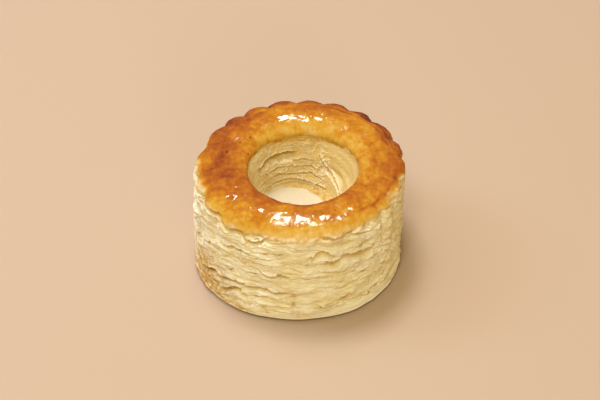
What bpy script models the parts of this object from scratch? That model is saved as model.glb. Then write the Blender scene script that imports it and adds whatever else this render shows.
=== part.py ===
"""A vol-au-vent: an empty, baked puff-pastry case with a fluted rim and a deep open well.

Metres, +Z up, with the front at -Y. The case stands on its flat base with z = 0 there, and
the origin is the middle of its outline. It is one solid: a turned section whose points are
moved by rules for the flutes, the parted layers and the lean that it took in the oven.
"""

import math

import bmesh
import bpy
from mathutils import Vector, noise

# Driving dimensions
HEIGHT = 0.0452
BASE_RADIUS = 0.0398
RIM_RADIUS = 0.0393
SHOULDER_HEIGHT = 0.0414
LEAN = 0.0013
RIM_TILT_X = 0.016
RIM_TILT_Y = -0.004

# The fluted edge
# The notches between the flutes, in degrees: one flute, at the left, is wide
NOTCHES = (
    76.4, 92.4, 109.8, 125.7, 139.0, 158.5, 183.7, 201.0, 217.0, 232.0, 247.0,
    263.0, 279.0, 295.0, 309.0, 322.0, 334.0, 350.8, 369.5, 386.0, 405.6, 420.5,
)
COLUMNS_PER_FLUTE = 6
COLUMNS = len(NOTCHES) * COLUMNS_PER_FLUTE
FLUTE_DEPTH = 0.0021
FLUTE_FRONT_SHARE = 0.45
FLUTE_FADE_LOW = 0.0250
FLUTE_FADE_HIGH = 0.0400
FLUTE_LEFT_LOW = 0.12
LOBE_ROUNDNESS = 0.75
LOBE_MEAN = 0.55

# The glazed edge droops here, in front and to the left: middle and half width in degrees
DROOP_ANGLE = -131
DROOP_HALF_ANGLE = 26
DROOP = 0.0024

# The well
MOUTH_RADIUS = 0.0212
MOUTH_OFFSET_X = 0.0013
MOUTH_UNEVENNESS = 0.0004
FOOT_RADIUS = 0.0158
FOOT_OFFSET_X = -0.0010
FOOT_OFFSET_Y = 0.0004
FLOOR_HEIGHT = 0.0195
FOOT_FILLET = 0.0012
WELL_TAPER = 1.25
WELL_STEPS = 7
WELL_LUMPS = 0.0005

# The crown, from its crest out to the fluted edge and in to the mouth
CREST_FROM_MOUTH_FRONT = 0.0036
CREST_FROM_MOUTH_BACK = 0.0108
OUTER_DROP_FRONT = 0.0052
OUTER_DROP_BACK = 0.0036
INNER_DROP_FRONT = 0.0014
INNER_DROP_BACK = 0.0046
OUTER_ROUNDNESS = 2.1
INNER_ROUNDNESS = 2.0
CROWN_LUMPS = 0.0004
LEAST_EDGE = 0.0012
OUTER_CROWN_ARC = (90, 68, 50, 34, 18)
INNER_CROWN_ARC = (0, 30, 55, 76, 90)

# A crease where the edge's lowest leaf stands clear of the crown, behind and to the right
CREASE_ANGLE = 50
CREASE_HALF_ANGLE = 40
CREASE_DROP = 0.0010
CREASE_SPREAD = 0.0014
CREASE_INNER, CREASE_OUTER = 0.45, 0.75

# The smooth leaf under the case
BASE_LEAF_HEIGHT = 0.0021
BASE_UNDERCUT = 0.0014
BASE_ROUNDING = 0.0003
BASE_ROUNDING_HEIGHT = 0.0005

# Parted layers of the outer wall: the mean height of each ledge, lowest first
LEDGE_HEIGHTS = (0.0062, 0.0108, 0.0156, 0.0206, 0.0256, 0.0306, 0.0352, 0.0394)
LEDGE_WANDER = 0.0021
LEDGE_SCALLOP_LOW = 0.0003
LEDGE_SCALLOP_HIGH = 0.0009
LEDGE_LIP = 0.0003
LEDGE_RECESS = 0.0013
LEDGE_CLEARANCE = 0.0005
LEDGE_THICKNESS = 0.0004
CLOSED_SHARE = 0.15
LOWER_FACE_SHARE = 0.55
LEAST_FACE = 0.0006
WALL_LUMPS = 0.0004
LUMPLESS_FOOT = 0.0060

# Gaps where the layers have parted widely: ledge, middle and half width in degrees, how deep
# and how tall the gap is, and how far the ledge rises there
GAPS = (
    (5, -56, 24, 0.0030, 0.0031, 0.0012),
    (6, -52, 9, 0.0012, 0.0014, 0.0012),
    (6, -84, 12, 0.0020, 0.0022, 0.0004),
    (7, -130, 24, 0.0010, 0.0009, -0.0022),
    (3, -102, 12, 0.0016, 0.0012, 0.0014),
    (2, -126, 28, 0.0018, 0.0014, 0.0004),
    (1, -130, 14, 0.0017, 0.0018, -0.0004),
    (2, -50, 16, 0.0012, 0.0010, -0.0010),
    (4, 20, 22, 0.0022, 0.0022, 0.0006),
    (2, 72, 26, 0.0020, 0.0016, 0.0008),
    (5, 128, 20, 0.0022, 0.0020, 0.0004),
    (1, 168, 24, 0.0020, 0.0016, 0.0006),
)

# Gaps in the wall of the well: height, middle and half width in degrees, depth, height
WELL_GAPS = (
    (0.0326, 116, 28, 0.0022, 0.0016),
    (0.0290, 40, 26, 0.0010, 0.0016),
    (0.0300, -110, 40, 0.0014, 0.0016),
)

# Noise for each feature: its level, which sets it apart from the others, and its reach,
# which sets how many waves it has to a turn
FLUTE_NOISE = (9.1, 2.2)
MOUTH_NOISE = (5.3, 1.5)
PARTING_LEVEL, PARTING_LEVEL_STEP, PARTING_REACH = 20.0, 1.7, 3.2
LEDGE_LEVEL_STEP, LEDGE_REACH = 0.45, 2.1
WALL_LEVELS_PER_METRE, WALL_REACH = 260.0, 2.4
CROWN_LEVELS_PER_METRE, CROWN_REACH = 117.0, 3.0
WELL_LEVELS_PER_METRE, WELL_REACH = 330.0, 1.9

BROWNED_GLAZE = (0.72, 0.33, 0.06, 1.0)
GLAZE_ROUGHNESS = 0.45
SHARP_EDGE = math.radians(50)
SEAM_MERGE = 0.00001


def mix(a, b, t):
    return a + (b - a) * t


def smooth_step(low, high, value):
    t = min(1.0, max(0.0, (value - low) / (high - low)))
    return t * t * (3.0 - 2.0 * t)


def ring_noise(angle, level, reach):
    """Noise that closes on itself round the case. A larger reach gives more waves to a turn."""
    return noise.noise(Vector((reach * math.cos(angle), reach * math.sin(angle), level)))


def angle_bump(angle, middle_degrees, half_degrees):
    """1 at the middle angle, falling smoothly to 0 at the half width either side of it."""
    away = abs(math.remainder(angle - math.radians(middle_degrees), 2.0 * math.pi))
    return 1.0 - smooth_step(0.35, 1.0, away / math.radians(half_degrees))


def front_share(angle):
    """1 at the front of the case, 0 at the back."""
    return 0.5 - 0.5 * math.sin(angle)


def column_angle(column):
    """The columns are evenly spaced between the notches of each flute."""
    lobe, step = divmod(column % COLUMNS, COLUMNS_PER_FLUTE)
    after = NOTCHES[lobe + 1] if lobe + 1 < len(NOTCHES) else NOTCHES[0] + 360.0
    return math.radians(mix(NOTCHES[lobe], after, step / COLUMNS_PER_FLUTE))


def flute(column, height):
    """How far the fluting moves the wall: round lobes with narrow notches, fading downwards."""
    lobe = abs(math.sin(math.pi * column / COLUMNS_PER_FLUTE)) ** LOBE_ROUNDNESS
    angle = column_angle(column)
    size = (0.8 + 0.5 * ring_noise(angle, *FLUTE_NOISE)) * mix(
        1.0, FLUTE_FRONT_SHARE, front_share(angle) ** 2
    )
    fade = mix(FLUTE_LEFT_LOW, 1.0, smooth_step(FLUTE_FADE_LOW, FLUTE_FADE_HIGH, height))
    return FLUTE_DEPTH * size * (lobe - LOBE_MEAN) * fade


def wall_radius(column, height):
    """The plain outer wall at a height, with its broad unevenness and its flutes."""
    angle = column_angle(column)
    straight = mix(BASE_RADIUS, RIM_RADIUS, height / HEIGHT)
    lumps = WALL_LUMPS * ring_noise(angle, WALL_LEVELS_PER_METRE * height, WALL_REACH)
    return straight + lumps * smooth_step(0.0, LUMPLESS_FOOT, height) + flute(column, height)


def ledge_height(ledge, column):
    """The ledges swing up and down together, and hang in a small swag under each flute."""
    angle = column_angle(column)
    swag = math.cos(2.0 * math.pi * column / COLUMNS_PER_FLUTE)
    share = ledge / (len(LEDGE_HEIGHTS) - 1)
    rise = LEDGE_WANDER * ring_noise(angle, LEDGE_LEVEL_STEP * ledge, LEDGE_REACH)
    rise += mix(LEDGE_SCALLOP_LOW, LEDGE_SCALLOP_HIGH, share) * swag
    for gap_ledge, middle, half, _, _, gap_rise in GAPS:
        if gap_ledge == ledge:
            rise += gap_rise * angle_bump(angle, middle, half)
    return LEDGE_HEIGHTS[ledge] + rise * smooth_step(-0.3, 0.5, share)


def ledge_gap(ledge, column):
    """Depth and height of the gap under a ledge: small by rule, large at the named gaps."""
    angle = column_angle(column)
    level = PARTING_LEVEL + PARTING_LEVEL_STEP * ledge
    parting = smooth_step(-0.30, 0.40, ring_noise(angle, level, PARTING_REACH))
    depth = LEDGE_RECESS * mix(CLOSED_SHARE, 1.0, parting)
    height = LEDGE_CLEARANCE
    for gap_ledge, middle, half, gap_depth, gap_height, _ in GAPS:
        if gap_ledge == ledge:
            bump = angle_bump(angle, middle, half)
            depth = mix(depth, gap_depth, bump)
            height = mix(height, gap_height, bump)
    return depth, height, parting


def base_point(column, step):
    """The base is one smooth leaf: under edge, outer edge and top edge."""
    radius = wall_radius(column, 0.0)
    return (
        (radius - BASE_UNDERCUT, 0.0),
        (radius - BASE_ROUNDING, BASE_ROUNDING_HEIGHT),
        (radius, BASE_LEAF_HEIGHT),
    )[step]


def ledge_point(column, ledge, part):
    """belly is the face of the layer below, recess the gap's inner end, lip the ledge's edge."""
    top = ledge_height(ledge, column)
    depth, gap, parting = ledge_gap(ledge, column)
    below = ledge_height(ledge - 1, column) if ledge else BASE_LEAF_HEIGHT
    if part == "lip":
        return wall_radius(column, top) + LEDGE_LIP * mix(CLOSED_SHARE, 1.0, parting), top
    if part == "recess":
        return wall_radius(column, top) - depth, top - LEDGE_THICKNESS
    belly = top - max(LOWER_FACE_SHARE * (top - below), gap + LEDGE_THICKNESS)
    belly = max(belly, below + LEAST_FACE)
    return wall_radius(column, belly), belly


def top_ledge(column):
    return ledge_height(len(LEDGE_HEIGHTS) - 1, column)


def crown_section(column):
    """Edge radius, mouth radius and where the crest lies between them, with both drops."""
    angle = column_angle(column)
    front = front_share(angle)
    edge = wall_radius(column, SHOULDER_HEIGHT)
    edge += CREASE_SPREAD * angle_bump(angle, CREASE_ANGLE, CREASE_HALF_ANGLE)
    mouth = MOUTH_RADIUS + MOUTH_UNEVENNESS * ring_noise(angle, *MOUTH_NOISE)
    crest = mouth + mix(CREST_FROM_MOUTH_BACK, CREST_FROM_MOUTH_FRONT, front)
    outer_drop = mix(OUTER_DROP_BACK, OUTER_DROP_FRONT, front)
    outer_drop += DROOP * angle_bump(angle, DROOP_ANGLE, DROOP_HALF_ANGLE)
    outer_drop = min(outer_drop, crown_height(angle, edge) - top_ledge(column) - LEAST_EDGE)
    inner_drop = mix(INNER_DROP_BACK, INNER_DROP_FRONT, front)
    return edge, mouth, crest, outer_drop, inner_drop


def crown_height(angle, radius):
    """The crest's height: the rim tilts a little, and is broadly lumpy."""
    tilt = radius * (RIM_TILT_X * math.cos(angle) + RIM_TILT_Y * math.sin(angle))
    lumps = CROWN_LUMPS * ring_noise(angle, CROWN_LEVELS_PER_METRE * radius, CROWN_REACH)
    return HEIGHT + tilt + lumps


def rounded_fall(reach, roundness):
    """0 at the crest, 1 where the surface has turned all the way down."""
    return 1.0 - (1.0 - min(1.0, reach) ** roundness) ** (1.0 / roundness)


def crown_point(column, side, reach):
    """reach runs from 0 at the crest to 1 at the fluted edge or at the mouth."""
    angle = column_angle(column)
    edge, mouth, crest, outer_drop, inner_drop = crown_section(column)
    if side == "outer":
        radius = mix(crest, edge, reach)
        height = crown_height(angle, radius) - outer_drop * rounded_fall(reach, OUTER_ROUNDNESS)
        crease = angle_bump(angle, CREASE_ANGLE, CREASE_HALF_ANGLE)
        height -= CREASE_DROP * crease * smooth_step(CREASE_INNER, CREASE_OUTER, reach)
        return radius, height
    radius = mix(crest, mouth, reach)
    fall = inner_drop * rounded_fall(reach, INNER_ROUNDNESS)
    return radius, crown_height(angle, radius) - fall


def well_point(column, depth_share):
    """The wall of the well, from the mouth at 0 to the foot at 1."""
    angle = column_angle(column)
    mouth, top = crown_point(column, "inner", 1.0)
    height = mix(top, FLOOR_HEIGHT + FOOT_FILLET, depth_share)
    radius = mix(mouth, FOOT_RADIUS, depth_share**WELL_TAPER)
    lumps = WELL_LUMPS * ring_noise(angle, WELL_LEVELS_PER_METRE * height, WELL_REACH)
    radius += lumps * math.sin(math.pi * depth_share)
    for gap_height, middle, half, depth, tall in WELL_GAPS:
        near = math.exp(-(((height - gap_height) / tall) ** 2))
        radius += depth * near * angle_bump(angle, middle, half)
    return radius, height


def floor_point(column):
    return FOOT_RADIUS - FOOT_FILLET, FLOOR_HEIGHT


def section_rows():
    """Every ring of the section, from under the base, up the wall, over and down to the floor."""
    rows = [(base_point, (step,)) for step in range(3)]
    for ledge in range(len(LEDGE_HEIGHTS)):
        rows += [(ledge_point, (ledge, part)) for part in ("belly", "recess", "lip")]
    for degrees in OUTER_CROWN_ARC:
        rows.append((crown_point, ("outer", math.sin(math.radians(degrees)))))
    for degrees in INNER_CROWN_ARC:
        rows.append((crown_point, ("inner", math.sin(math.radians(degrees)))))
    for step in range(1, WELL_STEPS + 1):
        rows.append((well_point, (step / WELL_STEPS,)))
    rows.append((floor_point, ()))
    return rows


def well_offset(height):
    """The well's middle wanders from its mouth's to its foot's."""
    share = smooth_step(FLOOR_HEIGHT, HEIGHT, height)
    return mix(FOOT_OFFSET_X, MOUTH_OFFSET_X, share), mix(FOOT_OFFSET_Y, 0.0, share)


def settled(radius, height, angle, inward):
    """The point in the case's frame: off-centre towards the well, and leaning towards +X."""
    shift_x, shift_y = well_offset(height)
    x = radius * math.cos(angle) + inward * shift_x + LEAN * height / HEIGHT
    y = radius * math.sin(angle) + inward * shift_y
    return Vector((x, y, height))


def turned_rings(bm, rows):
    """Spins a plain upright section, one point to a row, into COLUMNS columns of faces."""
    row_layer = bm.verts.layers.int.new("row")
    points = []
    for number in range(len(rows)):
        point = bm.verts.new((RIM_RADIUS, 0.0, HEIGHT * number / len(rows)))
        point[row_layer] = number
        points.append(point)
    edges = [bm.edges.new(pair) for pair in zip(points, points[1:])]
    bmesh.ops.spin(
        bm,
        geom=points + edges,
        cent=(0.0, 0.0, 0.0),
        axis=(0.0, 0.0, 1.0),
        angle=2.0 * math.pi,
        steps=COLUMNS,
        use_merge=True,
    )
    bmesh.ops.remove_doubles(bm, verts=bm.verts, dist=SEAM_MERGE)
    return row_layer


def shape_rings(bm, rows, row_layer):
    """Moves each turned point to its place on the baked case."""
    crown_start = next(n for n, (rule, _) in enumerate(rows) if rule is crown_point)
    crown_stop = next(n for n, (rule, _) in enumerate(rows) if rule is well_point)
    for point in bm.verts:
        turn = math.atan2(point.co.y, point.co.x) / (2.0 * math.pi)
        column = round(turn * COLUMNS) % COLUMNS
        number = point[row_layer]
        rule, values = rows[number]
        radius, height = rule(column, *values)
        inward = smooth_step(crown_start, crown_stop, number)
        point.co = settled(radius, height, column_angle(column), inward)


def close_disc(bm, row_layer, number, height):
    """Closes the ring of that row with one flat fan of triangles."""
    ring = [e for e in bm.edges if e.is_boundary and e.verts[0][row_layer] == number]
    centre = sum((e.verts[0].co + e.verts[1].co for e in ring), Vector()) / (2 * len(ring))
    hub = bm.verts.new((centre.x, centre.y, height))
    for edge in ring:
        bm.faces.new((edge.verts[0], edge.verts[1], hub))


def centre_on_outline(bm):
    """Moves the case so that the middle of its outline is on the Z axis."""
    xs = [point.co.x for point in bm.verts]
    ys = [point.co.y for point in bm.verts]
    middle = Vector(((min(xs) + max(xs)) / 2, (min(ys) + max(ys)) / 2, 0.0))
    bmesh.ops.translate(bm, verts=bm.verts, vec=-middle)


def pastry_material():
    material = bpy.data.materials.new("baked_pastry")
    material.use_nodes = True
    shader = material.node_tree.nodes["Principled BSDF"]
    shader.inputs["Base Color"].default_value = BROWNED_GLAZE
    shader.inputs["Roughness"].default_value = GLAZE_ROUGHNESS
    shader.inputs["Metallic"].default_value = 0.0
    material.diffuse_color = BROWNED_GLAZE
    return material


def pastry_case():
    rows = section_rows()
    bm = bmesh.new()
    row_layer = turned_rings(bm, rows)
    shape_rings(bm, rows, row_layer)
    close_disc(bm, row_layer, 0, 0.0)
    close_disc(bm, row_layer, len(rows) - 1, FLOOR_HEIGHT)
    bm.normal_update()
    bmesh.ops.recalc_face_normals(bm, faces=bm.faces)
    centre_on_outline(bm)
    mesh = bpy.data.meshes.new("pastry_case")
    bm.to_mesh(mesh)
    bm.free()
    mesh.shade_smooth()
    mesh.set_sharp_from_angle(angle=SHARP_EDGE)
    mesh.materials.append(pastry_material())
    case = bpy.data.objects.new("pastry_case", mesh)
    bpy.context.scene.collection.objects.link(case)
    return case


for old in list(bpy.data.objects):
    bpy.data.objects.remove(old)
pastry_case()
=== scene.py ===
"""The looks of a baked vol-au-vent case: flaky wall, glazed crown, open well and base leaf.

Metres, +Z up, front at -Y. Each piece starts as a flat sheet that is rolled up into a closed
ring, as pastry is, and is then sculpted: its points are moved to the leaves, gaps, flutes and
blisters of the baked case. The broad forms follow the same named sizes as the solid.
"""

import math

import bpy
import numpy as np
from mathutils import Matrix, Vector, noise


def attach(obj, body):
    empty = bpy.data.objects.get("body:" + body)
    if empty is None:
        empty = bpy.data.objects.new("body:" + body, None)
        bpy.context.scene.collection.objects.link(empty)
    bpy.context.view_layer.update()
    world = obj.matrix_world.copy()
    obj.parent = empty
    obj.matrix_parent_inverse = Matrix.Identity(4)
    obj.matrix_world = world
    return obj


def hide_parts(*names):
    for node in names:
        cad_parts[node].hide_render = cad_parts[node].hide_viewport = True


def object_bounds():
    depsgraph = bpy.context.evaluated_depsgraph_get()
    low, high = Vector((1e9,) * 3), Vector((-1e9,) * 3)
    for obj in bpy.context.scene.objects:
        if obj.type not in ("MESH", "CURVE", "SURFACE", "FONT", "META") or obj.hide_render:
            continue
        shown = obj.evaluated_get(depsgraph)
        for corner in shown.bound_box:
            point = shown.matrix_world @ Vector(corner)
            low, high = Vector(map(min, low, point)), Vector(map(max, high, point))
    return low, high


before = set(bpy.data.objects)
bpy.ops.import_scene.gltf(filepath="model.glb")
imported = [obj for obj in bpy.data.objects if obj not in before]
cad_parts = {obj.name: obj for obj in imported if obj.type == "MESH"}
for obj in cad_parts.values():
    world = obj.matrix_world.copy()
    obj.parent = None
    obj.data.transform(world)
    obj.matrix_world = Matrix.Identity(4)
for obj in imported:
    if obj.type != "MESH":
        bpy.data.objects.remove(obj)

CAD_BOX = [list(corner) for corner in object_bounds()]
MM = 0.001

# ---- sizes, as in the solid
HEIGHT = 0.0452
BASE_RADIUS = 0.0398
RIM_RADIUS = 0.0393
SHOULDER_HEIGHT = 0.0414
LEAN = 0.0013
RIM_TILT_X, RIM_TILT_Y = 0.016, -0.004
BASE_MIDDLE = (-0.000685, 0.00002)

NOTCHES = (
    76.4, 92.4, 109.8, 125.7, 139.0, 158.5, 183.7, 201.0, 217.0, 232.0, 247.0,
    263.0, 279.0, 295.0, 309.0, 322.0, 334.0, 350.8, 369.5, 386.0, 405.6, 420.5,
)
FLUTE_DEPTH = 0.0021
FLUTE_FRONT_SHARE = 0.45
FLUTE_FADE_LOW, FLUTE_FADE_HIGH = 0.0250, 0.0400
FLUTE_LEFT_LOW = 0.12

DROOP_ANGLE, DROOP_HALF_ANGLE, DROOP = -131, 26, 0.0024

MOUTH_RADIUS = 0.0212
MOUTH_OFFSET_X = 0.0013
FOOT_RADIUS = 0.0158
FOOT_OFFSET_X, FOOT_OFFSET_Y = -0.0010, 0.0004
FLOOR_HEIGHT = 0.0195
FOOT_FILLET = 0.0012
WELL_TAPER = 1.25

CREST_FROM_MOUTH_FRONT, CREST_FROM_MOUTH_BACK = 0.0036, 0.0108
OUTER_DROP_FRONT, OUTER_DROP_BACK = 0.0052, 0.0036
INNER_DROP_FRONT, INNER_DROP_BACK = 0.0014, 0.0046
OUTER_ROUNDNESS, INNER_ROUNDNESS = 2.1, 2.0
CREASE_ANGLE, CREASE_HALF_ANGLE = 50, 40
CREASE_DROP, CREASE_SPREAD = 0.0010, 0.0014
CREASE_REACH = 0.62
LEAST_EDGE = 0.0012
BASE_SPREAD = 0.0010
BASE_CORNERS = ((-138, 38), (-42, 38))
WALL_LUMPS = CROWN_LUMPS = MOUTH_UNEVENNESS = 0.0004
WELL_LUMPS = 0.0005

LOWEST_EDGE = 1.7 * MM
LEDGE_HEIGHTS = (0.0062, 0.0108, 0.0156, 0.0206, 0.0256, 0.0306, 0.0352, 0.0394)
LEDGE_WANDER = 0.0021
LEDGE_SCALLOP_LOW, LEDGE_SCALLOP_HIGH = 0.0003, 0.0009
LEDGE_LIP = 0.0003
LEDGE_RECESS = 0.0013
LEDGE_CLEARANCE = 0.0005

# ledge, middle and half width in degrees, depth, height, rise of the ledge
GAPS = (
    (5, -56, 24, 0.0030, 0.0031, 0.0012),
    (6, -52, 9, 0.0012, 0.0014, 0.0012),
    (6, -84, 12, 0.0020, 0.0022, 0.0004),
    (7, -130, 24, 0.0010, 0.0009, -0.0022),
    (3, -102, 12, 0.0016, 0.0012, 0.0014),
    (2, -126, 28, 0.0018, 0.0014, 0.0004),
    (1, -130, 14, 0.0017, 0.0018, -0.0004),
    (2, -50, 16, 0.0012, 0.0010, -0.0010),
    (4, 20, 22, 0.0022, 0.0022, 0.0006),
    (2, 72, 26, 0.0020, 0.0016, 0.0008),
    (5, 128, 20, 0.0022, 0.0020, 0.0004),
    (1, 168, 24, 0.0020, 0.0016, 0.0006),
)
# Folds that show on the front: the line of the edge in degrees and millimetres, then the depth
# and height of the gap under it and the reach of its lip, in millimetres
FOLDS = (
    (((-78.4, 29), (-77.1, 30.3), (-75.5, 31.1), (-73.3, 31.1), (-70.4, 30.6), (-68.1, 30.6),
      (-67, 31.6), (-65.9, 32.8), (-64.1, 32.8), (-60.9, 31.9), (-57.8, 31.4), (-54.4, 30.7),
      (-51.6, 30.4), (-49.5, 30.4), (-47.3, 30.5), (-45, 30.5), (-42.6, 30.1)), 2.3, 3.4, 0.5),
    (((-86.5, 32.7), (-84.9, 34), (-83.9, 34.6), (-82.8, 34), (-81.7, 35), (-80.1, 35.8), (-78.5, 36.6),
      (-76.9, 36.8), (-74.6, 36), (-72.9, 35), (-71.1, 33.6), (-68.7, 31.8)), 1.2, 2.6, 0.2),
    (((-58.6, 34.2), (-56.7, 34.5), (-54.7, 35.1), (-52, 35), (-49.2, 35.1), (-46.9, 34.9),
      (-43.8, 34.5)), 1.6, 2.1, 0.4),
    (((-68.7, 37.6), (-65.3, 37.2), (-63.6, 37.7), (-61.4, 38.1), (-58.8, 38.3)), 0.8, 1.3, 0.3),
    (((-64, 40.7), (-61.1, 41.4), (-58.5, 41.3), (-55.9, 40.8), (-50.2, 39.4), (-45.3, 39.9)),
      0.9, 1, 0.4),
    (((-80.3, 43.4), (-77.1, 42.7), (-74.3, 42.4), (-71.4, 41.6), (-68.5, 41.6), (-65.8, 41.6),
      (-63.7, 42.2), (-61, 42.5), (-57.7, 42.4)), 1, 1, 0.2),
    (((-138.6, 40.7), (-134.1, 39.9), (-131.5, 39.7), (-128.6, 40.2), (-124.3, 40.7), (-122.8, 40),
      (-121.5, 38.9), (-119.9, 37.9), (-117.5, 37.9), (-114.3, 38.4), (-111.7, 39.3), (-109.7, 40.9),
      (-107.2, 42)), 1.4, 1.5, 0.3),
    (((-151.6, 40.6), (-148.8, 40.9), (-145.4, 41.3), (-142.5, 42.1), (-139.4, 41.7), (-137.4, 41)),
      1.5, 1.6, 0.2),
    (((-140.5, 34), (-138.7, 32.3), (-137, 31.1), (-135.4, 30.3), (-132.3, 30.7), (-129.4, 31.6),
      (-126.7, 32), (-124, 32.2), (-122.1, 32.8), (-120.1, 32.3), (-117.7, 32.1)), 1.4, 1.6, 0.5),
    (((-153.5, 22.8), (-149.9, 24.3), (-147.8, 25.3), (-144.7, 25.6), (-141.9, 25), (-139.2, 24.6)),
      1.3, 1.5, 0.4),
    (((-143.2, 22), (-140.9, 21.9), (-139.1, 21.8), (-137.5, 21.7), (-135.1, 22)), 1, 1.2, 0.8),
    (((-143.5, 19), (-141.6, 18.4), (-139.8, 17.3), (-138.1, 16.6)), 0.8, 1, 0.6),
    (((-135.8, 19.8), (-133.4, 19.6), (-131.2, 19.5), (-129, 20.3), (-127, 20.8)), 1, 1, 0.4),
    (((-158.5, 9.2), (-155.5, 9.5), (-151.7, 10.7), (-148.3, 11.9), (-144.3, 13.6), (-141.5, 13.8),
      (-139.7, 13.1), (-137.1, 13.1), (-134.7, 13.5), (-131.7, 14.6), (-129.6, 15.3), (-126.8, 15.6),
      (-124.1, 16.2), (-122.1, 16.1), (-120.2, 15.2), (-118.3, 15.1), (-115.8, 15.3), (-112.9, 15.9),
      (-110, 16.1), (-107.1, 16.4), (-104.8, 16), (-102.6, 15.7), (-99.3, 15.9), (-95, 16.4)),
      2, 2.1, 0.6),
    (((-142.3, 11.2), (-140.4, 9.8), (-139.5, 9), (-137.8, 8.3), (-136.1, 8), (-133.8, 8.6),
      (-130.8, 9.8), (-128.7, 11.1), (-126.6, 12.1), (-124.6, 12.4), (-123.3, 11.8), (-121.9, 10.9),
      (-120, 10.3), (-118.1, 10.2)), 2.2, 2.2, 0.5),
    (((-116.9, 10.4), (-114.5, 11), (-112.1, 11.3), (-109.2, 12.1), (-106.4, 12.7)), 0.9, 0.8, 0.3),
    (((-113.2, 24.9), (-111.4, 24.5), (-110.2, 24), (-107.9, 23.8), (-106.2, 23.4), (-104, 23.6),
      (-101.8, 24.2), (-99.6, 24.2), (-96.9, 24.2), (-95.2, 23.8), (-93.6, 23.1)), 1.6, 1.5, 0.7),
    (((-121, 22), (-117.9, 22.2), (-114.9, 22.6), (-112, 23.5)), 0.8, 1, 0.3),
    (((-112.9, 33.9), (-110.6, 34.5), (-108.4, 34.8), (-105.5, 34.2)), 0.9, 0.7, 0.6),
    (((-106.7, 36), (-105, 35.8), (-103.3, 35.3), (-101.7, 35.3), (-98.9, 34.8)), 1.1, 0.9, 0.7),
    (((-112.8, 30.5), (-110.5, 31.3), (-108.2, 31.8), (-106, 31.7), (-103.8, 32.2)), 1, 0.8, 0.5),
    (((-95.6, 39.9), (-93.9, 39.4), (-92.3, 38.8), (-90.1, 38.1)), 0.9, 0.7, 0.3),
    (((-79.5, 39.6), (-77.2, 39.1), (-75.6, 39), (-74.2, 39.4)), 0.7, 0.7, 0.4),
    (((-106.9, 39.5), (-103.7, 40.2), (-100.1, 40.5), (-96.7, 40.2)), 0.6, 0.8, 0.3),
    (((-83.4, 23.7), (-81.2, 23.2), (-79, 23.1), (-76.8, 23.2), (-74.5, 23.3)), 1.2, 1, 0.4),
    (((-89.3, 23.3), (-87.7, 23.5), (-86, 22.7), (-83.8, 22)), 1, 0.7, 0.4),
    (((-56.3, 18.9), (-54.3, 19.6), (-53, 19.8), (-50.9, 19.9), (-48, 19.9)), 1.3, 1.3, 0.3),
    (((-69, 15.3), (-66.7, 16), (-63.7, 16.6), (-60.6, 16.9), (-56.2, 17.2), (-52.1, 17)),
      0.8, 1.6, 0.2),
    (((-68.1, 9.3), (-65.7, 9.7), (-63.3, 10.1), (-60.3, 10.8), (-57.7, 11.1)), 1.1, 1.7, 0.4),
    (((-80.5, 8.9), (-78.3, 8.7), (-75.5, 8), (-73.2, 8), (-70.9, 7.4), (-68, 7.9)), 0.9, 0.8, 0.3),
    (((-46.9, 6.3), (-44.6, 6.8), (-41.3, 7.3), (-38.8, 7.9)), 0.9, 0.8, 0.2),
    (((-46.8, 24.6), (-43.7, 24.2), (-40.3, 24.2), (-37.7, 24.6), (-35.9, 25.2)), 0.9, 1, 0.3),
    (((-38.7, 16.5), (-35, 16.9), (-32, 17.8), (-28.7, 18.9), (-26.5, 20.7)), 0.8, 1.6, 0.3),
    (((-39, 10.3), (-35.3, 11), (-31.2, 11.6), (-27.9, 12.6)), 0.9, 1.6, 0.3),
    (((-79.7, 26.8), (-75.8, 26), (-71.8, 25.1), (-67.7, 24.5), (-64.8, 24.7), (-61.7, 24.8),
      (-57.9, 24.5)), 0.7, 1.2, 0.5),
    (((-96, 28.5), (-93.8, 28.2), (-91.6, 27.9), (-88.9, 27.1), (-86.2, 26.6)), 0.6, 0.8, 0.5),
    (((-162.2, 24.3), (-160.2, 22.9), (-158.9, 21.1), (-157.9, 19.6)), 1.2, 2.1, 0.2),
    (((-150.1, 3.1), (-146.9, 3.4), (-143.8, 3.2), (-140.2, 3.1), (-136.8, 2.9)), 0.9, 0.9, 0.3),
    (((-137.6, 4.1), (-135.2, 3.6), (-132.8, 3)), 0.9, 0.8, 0.2),
    (((-132.5, 35), (-129.6, 35.4), (-126.8, 35.6), (-124.8, 35.8)), 0.6, 0.7, 0.3),
    (((-54, 24.3), (-50.5, 24.7), (-46.9, 25.2), (-43, 25.9)), 0.6, 1, 0.5),
    (((-49.7, 13.9), (-46, 14.6), (-42.1, 15.3), (-38.7, 16.2)), 0.6, 1.2, 0.3),
)
# Between these degrees the folds above take over from the evenly parted ledges
FRONT_LEFT, FRONT_RIGHT = -158, -30

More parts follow.
